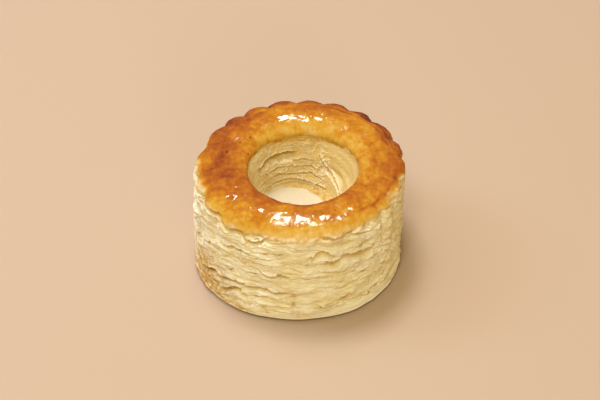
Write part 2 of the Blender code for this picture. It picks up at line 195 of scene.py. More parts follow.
# The same for the wall of the well
WELL_FOLDS = (
    (((95, 33.2), (100, 34), (108, 34.2), (114, 33.8), (118, 34.6), (123, 34), (129, 34.4),
      (136, 33.6), (146, 32.8)), 2.2, 2.6, 1.2),
    (((109, 40.6), (113, 41.4), (119, 41.6)), 1, 0.5, 0.2),
    (((97, 40.3), (101, 40.4), (104, 40.2)), 0.9, 0.5, 0.2),
    (((86, 39.2), (92, 39), (96, 39.4)), 0.8, 0.4, 0.2),
    (((78, 37), (84, 37.4), (91, 37.6)), 0.8, 0.5, 0.2),
    (((96, 36.9), (104, 37.2), (113, 37)), 1, 0.5, 0.3),
    (((14, 25.4), (22, 26.4), (36, 27.4), (50, 29), (60, 31.2), (68, 34)), 1.4, 1.1, 0.7),
    (((72, 31), (84, 31.2), (97, 30.4)), 0.9, 0.6, 0.5),
    (((62, 27.4), (75, 28.6), (92, 27.8), (110, 28.6), (135, 28)), 0.9, 0.6, 0.5),
    (((50, 24.4), (74, 25.8), (95, 24.8), (120, 25.6), (150, 25)), 0.8, 0.5, 0.5),
    (((44, 22), (70, 22.2), (100, 23.1), (130, 22.4), (150, 23)), 1, 0.5, 0.6),
    (((-160, 33), (-120, 33.8), (-80, 33.2), (-40, 33.6)), 1, 0.7, 0.4),
    (((-150, 28.2), (-100, 27.6), (-50, 28.4), (0, 28)), 1, 0.7, 0.4),
)
# Where the floor ends and the torn layers begin: degrees, millimetres from the middle
CRUST_EDGE = (
    (-180, 15.2), (-90, 14.4), (0, 13.4), (35, 12.7), (62, 12.9), (66, 13.2), (73.5, 14), (90, 14.5),
    (106, 15.3), (118, 15.6), (134, 15.6), (180, 15.2),
)
# height, middle and half width in degrees, depth, height of the gap
WELL_GAPS = (
    (0.0326, 116, 28, 0.0022, 0.0016),
    (0.0290, 40, 26, 0.0010, 0.0016),
    (0.0300, -110, 40, 0.0014, 0.0016),
)

# ---- how finely it is sculpted
WALL_COLUMNS = 900
CROWN_COLUMNS = 900
WELL_COLUMNS = 640
BASE_COLUMNS = 600
BAND_ROWS = 102
NOISE_ROWS = 61


# ---- helpers
def mix(a, b, t):
    return a + (b - a) * t


def smooth_step(low, high, value):
    t = np.clip((value - low) / (high - low), 0.0, 1.0)
    return t * t * (3.0 - 2.0 * t)


def ring_noise(angle, level, reach):
    """The same noise as the solid's, for arrays: it closes on itself round the case."""
    angle, level = np.broadcast_arrays(np.asarray(angle, float), np.asarray(level, float))
    x, y = reach * np.cos(angle), reach * np.sin(angle)
    spots = zip(x.ravel(), y.ravel(), level.ravel())
    flat = np.fromiter((noise.noise(spot) for spot in spots), float, angle.size)
    return flat.reshape(angle.shape)


def grain(turn, level, waves, seed, octaves=1, fall=0.5):
    """Fine noise, about -1 to 1, with so many waves to a turn and one to a unit of level."""
    turn, level = np.broadcast_arrays(np.asarray(turn, float), np.asarray(level, float))
    total, size = np.zeros(turn.shape), 1.0
    for octave in range(octaves):
        chance = np.random.default_rng(seed + 101 * octave)
        slope = chance.uniform(0, 2 * np.pi, (NOISE_ROWS, waves))
        along, across = np.cos(slope), np.sin(slope)
        u, v = (turn % 1.0) * waves, level
        column, row = np.floor(u).astype(int), np.floor(v).astype(int)
        fu, fv = u - column, v - row
        ease_u = fu * fu * fu * (fu * (fu * 6 - 15) + 10)
        ease_v = fv * fv * fv * (fv * (fv * 6 - 15) + 10)
        corner = []
        for down in (0, 1):
            for right in (0, 1):
                spot = (row + down) % NOISE_ROWS, (column + right) % waves
                corner.append(along[spot] * (fu - right) + across[spot] * (fv - down))
        blend = mix(mix(corner[0], corner[1], ease_u), mix(corner[2], corner[3], ease_u), ease_v)
        total = total + 1.6 * size * blend
        size *= fall
        waves, level = waves * 2, level * 2.0 + 7.3
    return total


class Round:
    """The columns round the case: their flute, their angle and how far to the front they are."""

    def __init__(self, columns):
        self.columns = columns
        self.turn = np.arange(columns) / columns
        notches = np.radians(NOTCHES + (NOTCHES[0] + 360,))
        self.angle = np.interp(self.turn * len(NOTCHES), np.arange(len(notches)), notches)
        self.front = 0.5 - 0.5 * np.sin(self.angle)
        self.phase = np.pi * len(NOTCHES) * self.turn
        size = 0.8 + 0.5 * ring_noise(self.angle, 9.1, 2.2)
        size = size * mix(1.0, FLUTE_FRONT_SHARE, self.front**2)
        self.flute = FLUTE_DEPTH * size * (np.abs(np.sin(self.phase)) ** 0.75 - 0.55)
        self.notch = np.exp(-((np.abs(np.sin(self.phase)) / 0.22) ** 2))
        self.degrees = (np.degrees(self.angle) + 180.0) % 360.0 - 180.0
        # 1 where the named folds of the front are
        self.folded = smooth_step(FRONT_LEFT - 8, FRONT_LEFT + 8, self.degrees)
        self.folded = self.folded * smooth_step(FRONT_RIGHT + 8, FRONT_RIGHT - 8, self.degrees)

    def bump(self, middle_degrees, half_degrees):
        """1 around one place of the ring, 0 past the half width on either side."""
        away = np.abs((self.angle - math.radians(middle_degrees) + np.pi) % (2 * np.pi) - np.pi)
        return 1.0 - smooth_step(0.35, 1.0, away / math.radians(half_degrees))

    def grain(self, *settings):
        return grain(self.turn, *settings)


# ---- the broad forms
def wall_radius(ring, height):
    fade = mix(FLUTE_LEFT_LOW, 1.0, smooth_step(FLUTE_FADE_LOW, FLUTE_FADE_HIGH, height))
    straight = mix(BASE_RADIUS, RIM_RADIUS, height / HEIGHT)
    corners = sum(ring.bump(*corner) for corner in BASE_CORNERS)
    straight = straight + BASE_SPREAD * corners * smooth_step(0.012, 0.0, height)
    lumps = WALL_LUMPS * ring_noise(ring.angle, 260.0 * height, 2.4)
    return straight + lumps * smooth_step(0.0, 0.006, height) + ring.flute * fade


def ledge_height(ring, ledge):
    share = ledge / (len(LEDGE_HEIGHTS) - 1)
    rise = LEDGE_WANDER * ring_noise(ring.angle, 0.45 * ledge, 2.1)
    rise = rise + mix(LEDGE_SCALLOP_LOW, LEDGE_SCALLOP_HIGH, share) * np.cos(2 * ring.phase)
    for gap_ledge, middle, half, _, _, gap_rise in GAPS:
        if gap_ledge == ledge:
            rise = rise + gap_rise * ring.bump(middle, half)
    return LEDGE_HEIGHTS[ledge] + rise * smooth_step(-0.3, 0.5, share)


def ledge_gap(ring, ledge):
    level = 20.0 + 1.7 * ledge
    parting = smooth_step(-0.30, 0.40, ring_noise(ring.angle, level, 3.2))
    depth = LEDGE_RECESS * mix(0.15, 1.0, parting)
    height = np.full_like(depth, LEDGE_CLEARANCE)
    for gap_ledge, middle, half, gap_depth, gap_height, _ in GAPS:
        if gap_ledge == ledge:
            bump = ring.bump(middle, half)
            depth = mix(depth, gap_depth, bump)
            height = mix(height, gap_height, bump)
    return depth, height, parting


def crown_height(ring, radius):
    tilt = radius * (RIM_TILT_X * np.cos(ring.angle) + RIM_TILT_Y * np.sin(ring.angle))
    return HEIGHT + tilt + CROWN_LUMPS * ring_noise(ring.angle, 117.0 * radius, 3.0)


def rounded_fall(reach, roundness):
    return 1.0 - (1.0 - min(1.0, reach) ** roundness) ** (1.0 / roundness)


def crown_point(ring, side, reach):
    """reach runs from 0 at the crest to 1 at the fluted edge or at the mouth."""
    mouth = MOUTH_RADIUS + MOUTH_UNEVENNESS * ring_noise(ring.angle, 5.3, 1.5)
    crest = mouth + mix(CREST_FROM_MOUTH_BACK, CREST_FROM_MOUTH_FRONT, ring.front)
    if side == "outer":
        edge = wall_radius(ring, np.full(ring.columns, SHOULDER_HEIGHT))
        edge = edge - ring.flute * float(smooth_step(0.86, 0.45, reach)) * 0.9
        crease = ring.bump(CREASE_ANGLE, CREASE_HALF_ANGLE)
        radius = mix(crest, edge + CREASE_SPREAD * crease, reach)
        drop = mix(OUTER_DROP_BACK, OUTER_DROP_FRONT, ring.front)
        drop = drop + DROOP * ring.bump(DROOP_ANGLE, DROOP_HALF_ANGLE)
        ledge = ledge_height(ring, len(LEDGE_HEIGHTS) - 1)
        drop = np.minimum(drop, crown_height(ring, edge) - ledge - LEAST_EDGE)
        step = CREASE_DROP * crease * smooth_step(CREASE_REACH, CREASE_REACH + 0.06, reach)
        fall = drop * rounded_fall(reach, OUTER_ROUNDNESS) + step
    else:
        radius = mix(crest, mouth, reach)
        drop = mix(INNER_DROP_BACK, INNER_DROP_FRONT, ring.front)
        fall = drop * rounded_fall(reach, INNER_ROUNDNESS)
    return radius, crown_height(ring, radius) - fall


def settled(ring, radius, height, inward):
    """Points in the case's frame: off-centre towards the well, and leaning towards +X."""
    share = smooth_step(FLOOR_HEIGHT, HEIGHT, height)
    shift_x = mix(FOOT_OFFSET_X, MOUTH_OFFSET_X, share)
    shift_y = mix(FOOT_OFFSET_Y, 0.0, share)
    lean = LEAN * height / HEIGHT
    x = radius * np.cos(ring.angle) + inward * shift_x + lean + BASE_MIDDLE[0]
    y = radius * np.sin(ring.angle) + inward * shift_y + BASE_MIDDLE[1]
    return np.stack([x, y, height], axis=-1)


# ---- rolling and sculpting
def rolled_sheet(name, rows, columns):
    """A flat sheet, rolled into a plain closed ring; each point keeps its row and column."""
    bpy.ops.object.select_all(action="DESELECT")
    bpy.ops.mesh.primitive_grid_add(x_subdivisions=columns, y_subdivisions=rows, size=1.0)
    sheet = bpy.context.object
    sheet.name = sheet.data.name = name
    index = np.arange(len(sheet.data.vertices))
    row, column = (index // (columns + 1)) % rows, (index % (columns + 1)) % columns
    for label, values in (("row", row), ("column", column)):
        layer = sheet.data.attributes.new(label, "INT", "POINT")
        layer.data.foreach_set("value", values.astype(np.int32))
    roll, turn = 2 * np.pi * row / rows, 2 * np.pi * column / columns
    out = 1.0 + 0.3 * np.cos(roll)
    place = np.stack([out * np.cos(turn), out * np.sin(turn), 0.3 * np.sin(roll)], axis=-1)
    sheet.data.vertices.foreach_set("co", place.astype(np.float32).ravel())
    bpy.ops.object.mode_set(mode="EDIT")
    bpy.ops.mesh.select_all(action="SELECT")
    bpy.ops.mesh.remove_doubles(threshold=0.00001)
    bpy.ops.mesh.normals_make_consistent(inside=False)
    bpy.ops.object.mode_set(mode="OBJECT")
    return sheet


def sculpt(sheet, points, marks):
    """Moves the sheet's points to rows x columns of points, and keeps marks for its finish."""
    mesh = sheet.data
    count = len(mesh.vertices)
    spot = []
    for label in ("row", "column"):
        values = np.empty(count, np.int32)
        mesh.attributes[label].data.foreach_get("value", values)
        mesh.attributes.remove(mesh.attributes[label])
        spot.append(values)
    spot = tuple(spot)
    mesh.vertices.foreach_set("co", points[spot].astype(np.float32).ravel())
    for name, values in marks.items():
        mark = mesh.attributes.new(name, "FLOAT", "POINT")
        mark.data.foreach_set("value", values[spot].astype(np.float32))
    mesh.update()
    mesh.shade_smooth()
    return sheet


def close_poles(sheet):
    """Merges the points that meet in the middle of a floor or an underside."""
    bpy.ops.object.select_all(action="DESELECT")
    sheet.select_set(True)
    bpy.context.view_layer.objects.active = sheet
    bpy.ops.object.mode_set(mode="EDIT")
    bpy.ops.mesh.select_all(action="SELECT")
    bpy.ops.mesh.remove_doubles(threshold=0.000001)
    bpy.ops.mesh.delete_loose(use_verts=True, use_edges=True, use_faces=False)
    bpy.ops.mesh.normals_make_consistent(inside=False)
    bpy.ops.object.mode_set(mode="OBJECT")
    return sheet


def outward(radius, height):
    """The direction straight out of the surface, in the plane of the section."""
    along_r, along_z = np.gradient(radius, axis=0), np.gradient(height, axis=0)
    length = np.maximum(np.hypot(along_r, along_z), 1e-9)
    return along_z / length, -along_r / length


def clear_of_box(points):
    """No point leaves the solid's box."""
    low, high = np.array(CAD_BOX[0]) + 0.00001, np.array(CAD_BOX[1]) - 0.00001
    return np.clip(points, low, high)


def finished_shape(name, ring, radius, height, inward, marks, hidden=()):
    """A piece from the rows of its section. Further rows, of radius, height and inward, are its
    hidden back, and have no marks."""
    inward = np.broadcast_to(inward, (len(radius), 1))
    for back_radius, back_height, back_inward in hidden:
        radius = np.vstack([radius, np.broadcast_to(back_radius, ring.columns)])
        height = np.vstack([height, np.broadcast_to(back_height, ring.columns)])
        inward = np.vstack([inward, [[back_inward]]])
    marks = {mark: np.pad(values, ((0, len(hidden)), (0, 0))) for mark, values in marks.items()}
    points = clear_of_box(settled(ring, radius, height, inward))
    return sculpt(rolled_sheet(name, *points.shape[:2]), points, marks)


# ---- leaves
# The leaves of the wall, coarse to fine: thickness in millimetres, how far their edges wander,
# waves to a turn, relief behind and in front in millimetres, seed
WALL_LEAVES = (
    (4.4, 1.10, 11, 0.95, 0.45, 1100),
    (2.3, 1.30, 17, 0.55, 0.28, 1200),
    (1.15, 1.40, 26, 0.24, 0.07, 1400),
    (0.60, 1.30, 60, 0.03, 0.03, 1600),
)
# The same in the well, with one relief all round
WELL_LEAVES = (
    (2.3, 1.5, 11, 0.55, 2200),
    (1.05, 1.7, 22, 0.38, 2400),
    (0.50, 1.4, 44, 0.20, 2600),
)
PORES = 150


class Skin:
    """What a plain surface carries: its relief, how far into a gap it is, painted as shade, and the edges
    and shelves of its leaves, painted as highlight.
    """

    def __init__(self, shape):
        self.relief, self.gap_shade, self.lip_highlight = np.zeros(shape), np.zeros(shape), np.zeros(shape)

    def add(self, relief, gap_shade, lip_highlight):
        self.relief = self.relief + relief
        self.gap_shade = np.maximum(self.gap_shade, gap_shade)
        self.lip_highlight = np.maximum(self.lip_highlight, lip_highlight)


def leaf_edge(below, depth, gap, lip):
    """A leaf's edge where below is 0: its lip, the hollow under it and the shelf under that. It also gives
    where the hollow is, for painted shade, and where the lip and shelf are, for painted highlight.
    """
    reach = np.clip(below / (1.2 * gap + 0.25 * MM), 0.0, 3.0)
    under = smooth_step(-0.04 * MM, 0.20 * MM, below) * np.maximum(1.0 - reach**2.2, 0.0)
    over = np.exp(-np.maximum(-below, 0.0) / (0.6 * MM)) * smooth_step(0.16 * MM, -0.02 * MM, below)
    shelf = np.exp(-(((reach - 1.15) / 0.20) ** 2))
    change = lip * over - depth * under + 0.15 * depth * shelf
    return change, under, np.maximum(over, 0.8 * shelf)


def fold(ring, height, ragged, line, depth, gap, lip):
    """An edge along a line of (degrees, millimetres), dying out at both ends."""
    along, level = zip(*line)
    edge = np.interp(ring.degrees, along, level) * MM
    ends = smooth_step(along[0] - 2, along[0] + 5, ring.degrees)
    ends = ends * smooth_step(along[-1] + 2, along[-1] - 5, ring.degrees)
    below = edge - height + ragged
    change, under, over = leaf_edge(
        below, 0.92 * depth * MM * ends, gap * MM * (0.3 + 0.7 * ends), lip * MM * ends)
    return change, under * ends * min(1.0, depth / 1.3), over * ends * min(1.0, depth / 1.3)


def arch(ring):
    """How far the leaves of the front rise towards its middle."""
    return 4.2 * MM * ring.bump(-98, 66)


def strata(ring, height, pitch, wander, waves, seed, soft=0.0):
    """Leaves of one thickness, whose edges wander, split and run out: relief, and the gap and lip that are
    painted as shade and highlight.
    """
    level = height - arch(ring)
    warp = ring.grain(level / (5.0 * pitch), waves, seed, 4, 0.55)
    count = level / pitch + wander * warp
    leaf = np.floor(count)
    rest = count - leaf
    strength = smooth_step(-0.35, 0.55, ring.grain(0.31 * leaf, waves, seed + 5, 2))
    edge = smooth_step(0.0, 0.17 + 0.30 * soft, rest)
    relief = strength * (edge * (1.0 - rest**1.5) - 0.4)
    gap = np.maximum(smooth_step(0.15, 0.0, rest), smooth_step(0.88, 1.0, rest))
    gap = strength * gap * (1.0 - 0.6 * soft)
    lip = strength * edge * smooth_step(0.55, 0.15, rest)
    return relief, gap, lip


def pores(ring, height, low, high):
    """The depth of small torn pores, scattered over the face."""
    chance = np.random.default_rng(88)
    depth = np.zeros(height.shape)
    columns = ring.columns
    for _ in range(PORES):
        middle = chance.integers(columns)
        level = chance.uniform(low, high)
        wide = chance.uniform(0.35, 1.3) * MM / BASE_RADIUS
        tall = chance.uniform(0.18, 0.40) * MM
        size = chance.uniform(0.25, 0.75) * MM
        reach = int(3.2 * wide / (2 * np.pi) * columns) + 2
        near = (middle + np.arange(-reach, reach + 1)) % columns
        away = (ring.angle[near] - ring.angle[middle] + np.pi) % (2 * np.pi) - np.pi
        tilt = chance.normal(0, 0.25)
        up = (height[:, near] - level) / tall - tilt * away / wide
        spot = np.exp(-((away / wide) ** 4) - up**4)
        depth[:, near] = np.maximum(depth[:, near], size * spot)
    return depth


def flaky_skin(ring, height):
    """All that stands on or is cut into the plain wall at these heights."""
    ragged = 0.22 * MM * ring.grain(height / (6 * MM), 70, 300, 2)
    ragged = ragged + 0.04 * MM * ring.grain(height / (3 * MM), 260, 310, 2)
    skin = Skin(height.shape)
    for ledge in range(len(LEDGE_HEIGHTS)):
        top = ledge_height(ring, ledge)
        depth, gap, parting = ledge_gap(ring, ledge)
        depth = depth * mix(1.0, 0.15, ring.folded)
        gap = mix(gap, np.minimum(gap, 0.5 * MM), ring.folded)
        flake = 1.0 + 0.8 * ring.grain(ledge + 0.5, 120, 700, 2)
        lip = LEDGE_LIP * mix(0.35, 1.3, parting) * flake * mix(1.0, 0.6, ring.folded)
        change, under, over = leaf_edge(top - height + ragged, depth, gap, lip)
        skin.add(change, under * smooth_step(0.2 * MM, 1.8 * MM, depth), over * parting)
    for line, depth, gap, lip in FOLDS:
        skin.add(*fold(ring, height, 0.8 * ragged, line, depth, gap, lip))
    # Less painted highlight on the leaves just under the glaze
    skin.lip_highlight = skin.lip_highlight * mix(1.0, 0.25, smooth_step(38 * MM, 41 * MM, height))
    clean = 1.0 - 0.92 * skin.gap_shade
    for pitch, wander, waves, behind, ahead, seed in WALL_LEAVES:
        change, gap, lip = strata(ring, height, pitch * MM, wander, waves, seed, ring.folded)
        size = mix(behind, ahead, ring.folded) * MM
        weight = size / (0.5 * MM)
        gap = 0.55 * gap * np.minimum(1.0, weight)
        skin.add(size * clean * change, gap, lip * np.minimum(0.6, weight))
    # Pores are cut in, and painted as shade
    holes = pores(ring, height, 2.5 * MM, 41 * MM)
    skin.add(-holes, holes / (0.9 * MM), 0.0)
    level = height - arch(ring)
    lumps = 0.70 * ring.grain(level / (5.5 * MM), 19, 11, 2)
    puffs = 0.60 * np.abs(ring.grain(level / (2.6 * MM), 38, 12, 2)) - 0.15
    crumbs = 0.20 * np.abs(ring.grain(level / (0.9 * MM), 120, 13, 3, 0.6))
    fibre = 0.045 * ring.grain(height / (0.60 * MM), 200, 21, 2)
    skin.relief = skin.relief + MM * clean * (lumps + puffs + crumbs + fibre)
    # A smooth foot at the front: calmer relief, no painted shade, and a painted highlight
    smooth_foot = smooth_step(6.0 * MM, 3.4 * MM, height) * ring.bump(-64, 72)
    skin.relief = skin.relief * (1.0 - 0.9 * smooth_foot)
    skin.gap_shade = skin.gap_shade * (1.0 - smooth_foot)
    skin.lip_highlight = np.maximum(skin.lip_highlight, 0.9 * smooth_foot)
    below_crown = smooth_step(45.5 * MM, 41.0 * MM, height - 1.5 * MM * (1 - ring.folded))
    skin.relief = skin.relief * below_crown - 0.15 * MM
    return skin


# ---- where it is glazed and browned
# Down to which height the glaze has run, as (degrees, millimetres)
GLAZE_EDGE = (
    (-180, 42.4), (-170, 42.6), (-163, 42.6), (-154, 42.5), (-147, 42.5), (-140.6, 42.2),
    (-132.8, 41.9), (-126.4, 41.5), (-122, 41.5), (-115, 42.6), (-108.3, 43.6), (-102.2, 43.9),
    (-94.3, 44.3), (-87.8, 43.9), (-81, 44.3), (-72.5, 44.3), (-64, 44.2), (-49, 44.3), (-42.5, 44.2),
    (-35, 44), (-28, 44), (-20.5, 43.8), (-12.3, 42.9), (-8, 42.6), (10, 41), (90, 40.2), (150, 40.8),
    (162, 41.4), (172, 42.2), (180, 42.4),
)
GLAZE_FADE = 2.1 * MM


def glaze_line(ring):
    return np.interp(ring.degrees, *zip(*GLAZE_EDGE)) * MM


def glazed_share(ring, height):
    """1 where the case is glazed, 0 where it is bare, by height on the outer wall."""
    line = glaze_line(ring) + mix(0.5, 0.2, ring.folded) * MM * ring.grain(0.5, 30, 51, 2)
    ragged = 0.5 * MM * ring.grain(height / (4 * MM), 44, 61, 3, 0.7)
    line = line - 0.9 * MM * ring.folded
    return smooth_step(-GLAZE_FADE, GLAZE_FADE, height - line + ragged)


def spot_reach(ring, place, middle, level, wide, tall):
    """How far each point is from a spot's middle: 0 there, 1 at the spot's edge, squared."""
    away = (ring.degrees - middle + 180.0) % 360.0 - 180.0
    return (away / wide) ** 2 + ((place - level * MM) / (tall * MM)) ** 2


# Toasted spots of the bare wall: degrees, millimetres, half width in degrees, half height, strength
TOASTED = (
    (-150, 7, 22, 12, 0.85), (-134, 3, 20, 4.5, 0.6), (-165, 2, 22, 2.5, 0.9), (-122.6, 2.6, 3.2, 1, 1),
    (-129.1, 1.6, 1.6, 0.5, 0.8), (-108.4, 6.1, 1.8, 0.5, 0.9), (-100.6, 8, 1.6, 0.5, 0.6),
    (-107.2, 4, 2.6, 0.4, 0.6), (-133.6, 3.9, 2.4, 1.1, 0.9), (-137.6, 3.6, 2.4, 1.6, 0.9),
    (-129.7, 19.4, 2.6, 0.7, 0.7), (-108.9, 33.8, 2, 0.4, 0.9), (-107.1, 16.1, 2, 0.6, 0.9),
    (-113.9, 10.5, 1.4, 0.4, 0.9), (-108.6, 11.5, 2.4, 0.4, 0.8), (-47.6, 6.4, 1, 0.5, 0.9),
    (-45.8, 7.8, 1.6, 0.4, 0.7), (-42.2, 7.7, 2.2, 0.6, 0.7), (-87.7, 23.3, 1.8, 0.3, 0.8),
    (-84.9, 22.2, 1.4, 0.4, 0.9), (-78.6, 22.7, 4, 0.5, 0.6), (-90.5, 37.9, 2.6, 0.6, 0.6),
    (-92, 13.7, 2.2, 1.4, 0.75), (-92.5, 8.9, 1.6, 4.5, 0.5), (-90, 5, 2.4, 2.6, 0.35),
    (-116.1, 22.2, 4, 0.6, 0.6), (-57.7, 21, 1.2, 0.4, 0.9), (-100.5, 34.7, 2.4, 0.5, 0.8),
    (-63, 9, 5, 1.2, 0.6), (-75, 7.7, 5.5, 0.6, 0.8), (-160, 10, 7, 9, 0.5), (-51.5, 19.4, 4, 0.9, 0.6),
    (-28.9, 28.8, 1.4, 0.9, 0.6), (-45, 24, 3, 0.7, 0.5), (-162, 20, 4, 5, 0.5), (20, 6, 22, 4, 0.4),
    (80, 5, 26, 3.5, 0.5), (140, 7, 20, 5, 0.5),
)


def toasting(ring, height):
    """Where the bare wall has taken some colour, 0 to 1, with a darker band under the glaze that is partly
    toasting and partly painted shade.
    """
    blotch = 0.5 * ring.grain(height / (1.1 * MM), 100, 91, 3, 0.7)
    toast = 0.12 + 0.16 * ring.grain(height / (5 * MM), 20, 92, 3, 0.6)
    for *spot, strength in TOASTED:
        reach = spot_reach(ring, height, *spot)
        toast = np.maximum(toast, strength * np.exp(-reach) * (1.0 + blotch))
    line = glaze_line(ring)
    fringe = np.exp(-(((line - height - 2.2 * MM) / (1.5 * MM)) ** 2))
    toast = toast + 0.5 * fringe * np.maximum(blotch, 0.0) * ring.bump(-80, 60)
    # A darker band just under the glaze line: partly toasting, partly painted shade on the shoulder
    shoulder_toast_and_shade = np.exp(-(((height - line + 1.0 * MM) / (1.4 * MM)) ** 2))
    toast = toast + (0.45 + 0.25 * ring.folded) * (1.0 + 0.8 * blotch) * shoulder_toast_and_shade
    return np.clip(toast, 0.0, 1.0)


# Darker specks and streaks of the glaze: degrees, millimetres from the middle, half sizes, strength
SCORCHED = (
    (141, 25.8, 0.8, 0.3, 0.7), (159, 22.4, 0.9, 0.3, 0.6), (165.5, 29.5, 1.2, 0.4, 0.45),
    (151, 27.2, 0.8, 0.3, 0.5), (-79, 26.7, 1, 0.3, 0.35), (-64, 28.6, 1, 0.3, 0.35),
    (-18, 26.2, 1, 0.3, 0.3), (-12, 36.4, 5, 0.7, 0.25), (-24, 35.6, 6, 0.6, 0.3),
    (-36, 34.7, 6, 0.6, 0.3), (-47, 33.8, 5, 0.5, 0.22), (-20, 31.5, 7, 1.6, 0.12),
    (172, 31.5, 8, 2.2, 0.14), (188, 28.5, 7, 1.8, 0.12), (160, 31, 6, 1.6, 0.12),
    (-98, 33.6, 4, 0.6, 0.16), (-60, 32.5, 8, 0.8, 0.12), (131, 33.5, 9, 1.2, 0.16),
    (118, 34, 7, 0.9, 0.16), (146, 33.5, 7, 1.2, 0.14), (75, 34.4, 8, 0.45, 0.25),
    (61, 34.5, 8, 0.45, 0.3), (47, 36.6, 8, 0.45, 0.3), (34, 35.4, 8, 0.45, 0.28),
    (23, 34.6, 6, 0.45, 0.22), (-138, 33, 15, 3.5, -0.13), (166, 36, 12, 2.5, -0.08),
)


# Broad darker and paler zones of the glaze: middle and half width in degrees, the shares across
# between which the zone comes in, strength
BAKED_ZONES = (
    (-95, 80, 0.52, 0.86, 0.20),
    (80, 110, 0.52, 0.86, -0.19),
    (-95, 80, 0.36, 0.05, -0.12),
)


def browning(ring, across, radius):
    """How dark the glaze has baked, 0 to 1; across runs from 0 at the edge to 1 at the mouth."""
    arc = radius / (6 * MM)
    brown = 0.46 + 0.11 * ring.grain(arc, 22, 71, 3, 0.6)
    brown = brown + 0.045 * ring.grain(radius / (1.6 * MM), 100, 72, 3, 0.7)
    back = ring.bump(118, 116)
    right = ring.bump(0, 60)
    wander = across + 0.05 * ring.grain(arc, 44, 75, 2)
    edge = smooth_step(0.34, 0.08, wander)
    brown = brown + edge * (0.25 * back + 0.13 * right)
    brown = brown + (0.5 - 0.4 * edge) * ring.notch * smooth_step(0.30, 0.06, across) * back
    crease = ring.bump(CREASE_ANGLE, CREASE_HALF_ANGLE)
    crease_at = 0.5 - 0.5 * CREASE_REACH
    brown = brown + 0.20 * crease * smooth_step(crease_at + 0.01, crease_at - 0.02, across)
    for *spot, strength in SCORCHED:
        brown = brown + strength * np.exp(-spot_reach(ring, radius, *spot))
    left = ring.bump(178, 70) * smooth_step(0.10, 0.30, across)
    brown = brown + 0.14 * left * smooth_step(1.0, 0.6, across)
    for middle, half, low, high, strength in BAKED_ZONES:
        zone = smooth_step(low, high, across)
        brown = brown + strength * zone * ring.bump(middle, half)
    return np.clip(brown, 0.0, 1.0)


# Where the glaze has stayed thick and shiny: degrees, millimetres from the middle, half sizes of
# the patch in degrees and millimetres, strength
SHINY = (
    (-121.7, 29.4, 4.2, 1, 1), (-112.2, 30.5, 3.4, 1.6, 1.1), (-105.4, 30.9, 7.4, 2.8, 1.9),
    (-100.9, 33.3, 2.4, 0.9, 0.7), (-95, 30.8, 5.2, 2, 1), (-92.5, 29.7, 3.2, 1.2, 1.1),
    (-88, 30.6, 4, 1.4, 1.1), (-84, 32, 3, 1.2, 1), (-80.6, 33.7, 4, 0.9, 0.7),
    (-74, 30.7, 5.6, 1.3, 1.05), (-66, 32.5, 5, 1.4, 0.75), (-51, 31.9, 6, 1.1, 0.7),
    (-116.8, 33.7, 3.2, 0.9, 0.7), (106.4, 28.4, 4, 0.8, 0.9), (99.8, 27.7, 7.6, 2.3, 1.9),
    (93.5, 27.6, 4.6, 1.3, 1.1), (88, 26.6, 3.2, 0.8, 0.9), (76.9, 27.4, 4.4, 0.8, 0.85),
    (64.6, 27.1, 2.2, 0.6, 0.8), (50.6, 27, 3.2, 0.9, 0.95), (125.6, 29.1, 4, 0.7, 0.7),
    (-146, 30.2, 2.2, 0.7, 0.8), (-30.8, 34, 2.2, 0.6, 0.8), (150, 29.5, 3, 0.8, 0.7),
    (20, 29.5, 3, 0.7, 0.7), (-5, 31, 3, 0.7, 0.7),
)


def wetness(ring, radius):
    """How thick and shiny the glaze has stayed: 0, or more in the shiny patches."""
    wet = np.zeros(radius.shape)
    for *spot, strength in SHINY:
        reach = spot_reach(ring, radius, *spot)
        wet = np.maximum(wet, strength * np.exp(-(reach**1.5)))
    return wet


# ---- the flaky wall
def wall_band(name, low_ledge, high_ledge):
    """The wall between two ledges, or from the base leaf; its back is hidden in the case."""
    ring = Round(WALL_COLUMNS)
    if low_ledge is None:
        low = np.full(ring.columns, LOWEST_EDGE)
    else:
        low = ledge_height(ring, low_ledge)
    high = ledge_height(ring, high_ledge) + 0.25 * MM
    height = mix(low, high, np.linspace(0.0, 1.0, BAND_ROWS)[:, None])
    skin = flaky_skin(ring, height)
    glaze = glazed_share(ring, height)
    radius = wall_radius(ring, height) + skin.relief * mix(1.0, 0.75, glaze)
    radius[-1] -= 0.5 * MM
    radius[-2] -= 0.2 * MM
    marks = {
        "toast": toasting(ring, height),
        "glaze": glaze,
        "brown": browning(ring, np.zeros((1, 1)), radius),
        # Painted shade in the gaps, and painted highlight on the edges and shelves of the leaves
        "gap_shade": skin.gap_shade,
        "lip": skin.lip_highlight,
    }
    back = ((high, 1.0, 0.1), (high, 4.6, 0.0), (low, 4.0, 0.0), (low, 1.2, 0.25), (low, 0.5, 0.0))
    hidden = [(wall_radius(ring, base) - inset * MM, base + up * MM, 0.0) for base, inset, up in back]
    sagging = height - 0.25 * MM * skin.lip_highlight
    return finished_shape(name, ring, radius, sagging, 0.0, marks, hidden)


# How browned the flat underside is, where the case stood on the baking sheet
UNDERSIDE_TOAST = 0.45
# The base leaf's edge, from the underside round to the top: millimetres in from the edge, and up
BASE_SECTION = (
    (7, 0), (5.2, 0.07), (3.8, 0.24), (2.6, 0.5), (1.6, 0.82), (0.8, 1.14), (0.35, 1.4), (0.08, 1.64),
    (0, 1.85), (0.06, 2.05), (0.2, 2.22), (0.5, 2.34), (1, 2.4), (2.5, 2.4), (9, 2.5),
)


